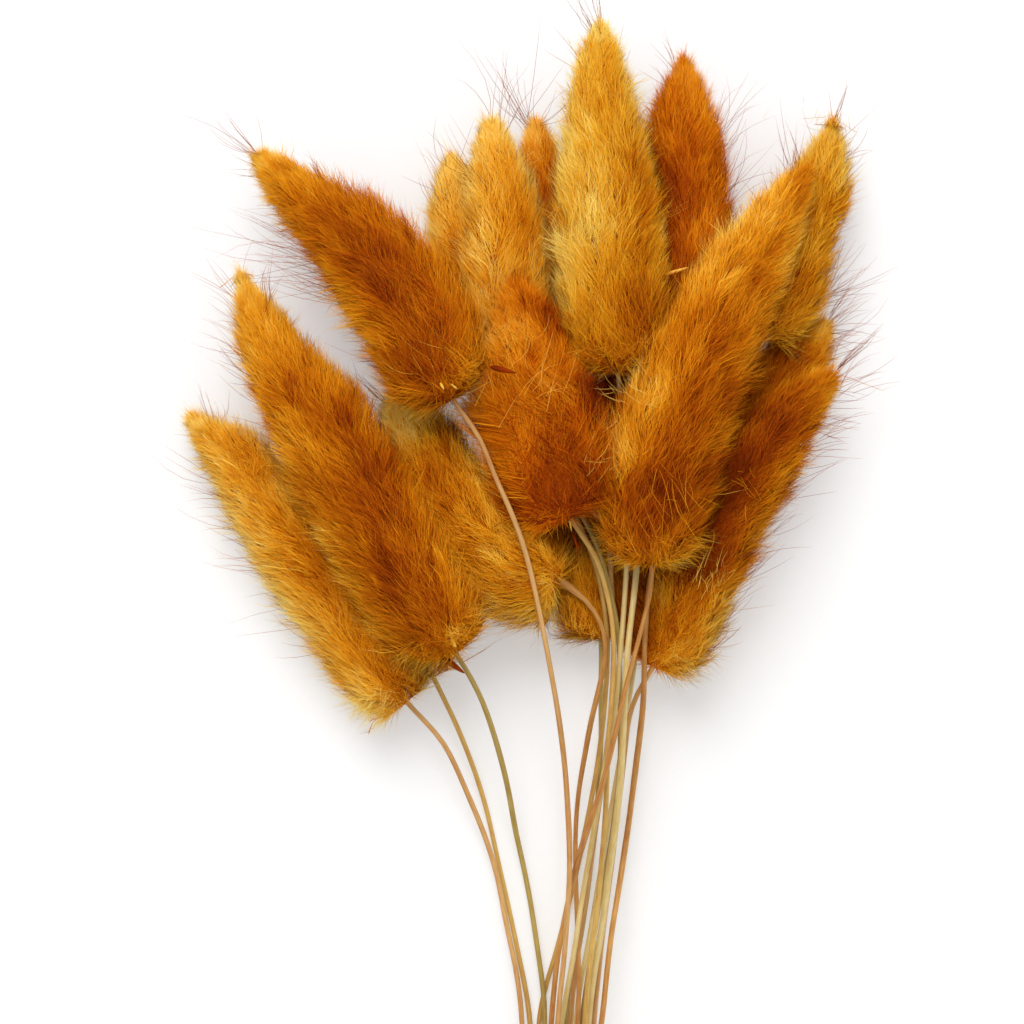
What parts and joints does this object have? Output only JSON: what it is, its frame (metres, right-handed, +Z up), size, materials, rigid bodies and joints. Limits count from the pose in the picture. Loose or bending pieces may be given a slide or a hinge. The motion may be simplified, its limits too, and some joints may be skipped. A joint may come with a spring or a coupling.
{
  "type": "dried bunny tail grass bunch",
  "caption": "Loose bunch of dried bunny tail grass lying flat: furry golden-orange seed heads fanned out on thin bare stems that gather into a bundle, for a vase or a wreath.",
  "frame": {"origin": "middle of the bunch's footprint, at the height of the table it lies on", "axes": "+Z up from the table, +Y along the stems towards the seed heads, +X to the right when the bunch is seen from above with its heads away from the viewer"},
  "size_m": [0.1132, 0.3132, 0.0317],
  "materials": {
    "fur_burnt": "matte",
    "fur_orange": "matte",
    "fur_golden": "matte",
    "fur_amber": "matte",
    "fur_olive": "matte",
    "fur_brown": "matte",
    "straw_tan": "satin",
    "straw_gold": "satin",
    "straw_olive": "satin",
    "straw_cream": "satin",
    "straw_rust": "satin"
  },
  "bodies": {
    "root": {"head_low_centre": "fur_amber", "head_back_left": "fur_orange", "head_back_centre": "fur_burnt", "head_right_low": "fur_orange", "head_left_low": "fur_golden", "head_left_front": "fur_golden", "head_right_front": "fur_brown", "head_back_pale": "fur_golden", "head_centre_left": "fur_amber", "head_left_long": "fur_golden", "head_top_centre": "fur_olive", "head_back_right": "fur_burnt", "head_centre_front": "fur_burnt", "head_far_right": "fur_olive", "head_right_long": "fur_orange", "head_upper_left": "fur_brown", "stem_low_centre": "straw_olive", "stem_back_left": "straw_gold", "stem_back_centre": "straw_tan", "stem_right_low": "straw_cream", "stem_left_low": "straw_gold", "stem_left_front": "straw_tan", "stem_right_front": "straw_tan", "stem_back_pale": "straw_olive", "stem_centre_left": "straw_rust", "stem_left_long": "straw_olive", "stem_top_centre": "straw_cream", "stem_back_right": "straw_cream", "stem_centre_front": "straw_gold", "stem_far_right": "straw_rust", "stem_right_long": "straw_rust", "stem_upper_left": "straw_tan"}
  },
  "joints": []
}
